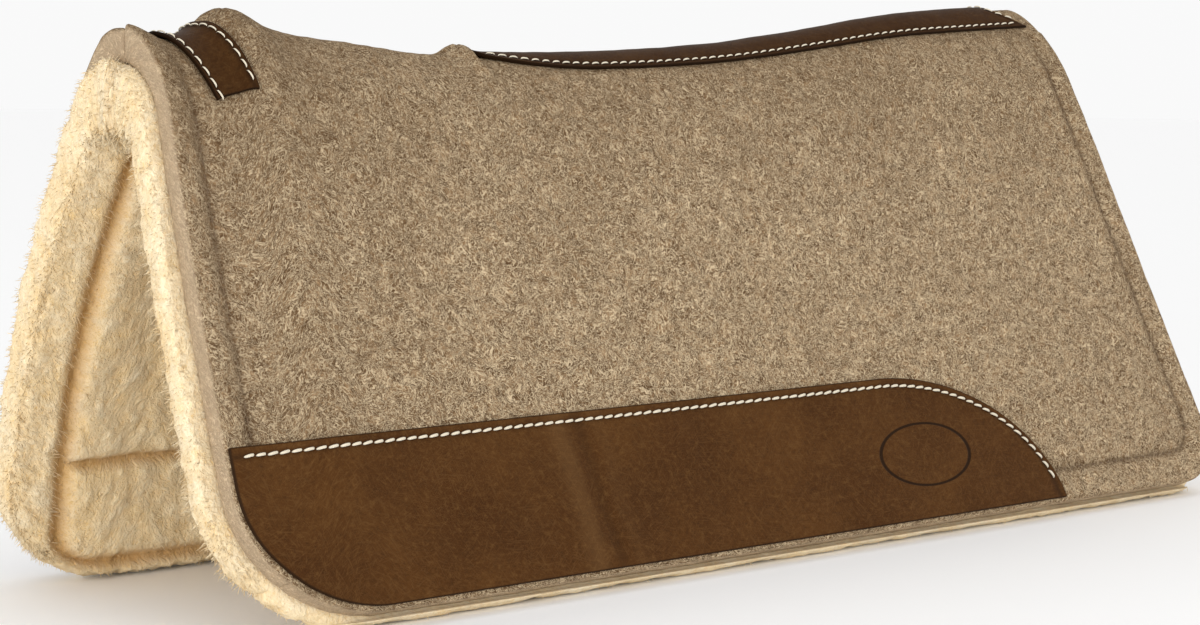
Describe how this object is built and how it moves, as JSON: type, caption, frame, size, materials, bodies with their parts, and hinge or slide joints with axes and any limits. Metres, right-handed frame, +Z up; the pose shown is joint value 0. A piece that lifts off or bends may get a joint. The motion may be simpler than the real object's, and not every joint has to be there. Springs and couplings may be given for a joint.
{
  "type": "saddle pad",
  "caption": "Contoured western saddle pad of thick wool felt lined with fleece, with leather along the spine, a wither strap and wear leathers, folding along its spine",
  "frame": {"origin": "on the ground under the middle of the pad's bounding box, as it stands on its two lower edges; the spine seam runs 11 mm to the near side of it, because the off flank stands a little wider", "axes": "+X along the spine to the rear (tail) end, +Y to the horse's off side, +Z up"},
  "size_m": [0.9304, 0.3008, 0.3825],
  "materials": {
    "felt": "heathered taupe wool felt, matte and hairy",
    "fleece": "cream fleece pile, soft and matte",
    "leather": "dark brown oiled leather, low sheen",
    "white_thread": "waxed off-white stitching thread",
    "felt_thread": "brown seam thread, matte"
  },
  "bodies": {
    "near_half": {"near_felt_panel": "felt", "near_fleece_lining": "fleece", "near_wear_leather": "leather", "near_wear_stitching": "white_thread", "near_front_edge_seam": "felt_thread", "near_rear_edge_seam": "felt_thread", "spine_stitching_near": "white_thread", "spine_leather": "leather", "spine_stitching_rear": "white_thread", "wither_strap": "leather", "strap_stitching_front": "white_thread", "strap_stitching_rear": "white_thread", "wither_seam_thread": "felt_thread", "spine_seam_thread": "felt_thread"},
    "off_half": {"off_felt_panel": "felt", "off_fleece_lining": "fleece", "off_wear_leather": "leather", "off_wear_stitching": "white_thread", "off_front_edge_seam": "felt_thread", "off_rear_edge_seam": "felt_thread", "spine_stitching_off": "white_thread"}
  },
  "joints": [
    {"name": "spine_fold", "type": "hinge", "parent": "near_half", "child": "off_half", "pos_m": [0, -0.0111, 0.383], "axis": [1, 0, 0], "range_deg": [-10, 110], "deforming": ["spine_leather", "spine_stitching_rear", "wither_strap", "strap_stitching_front", "strap_stitching_rear", "wither_seam_thread", "spine_seam_thread"]}
  ]
}
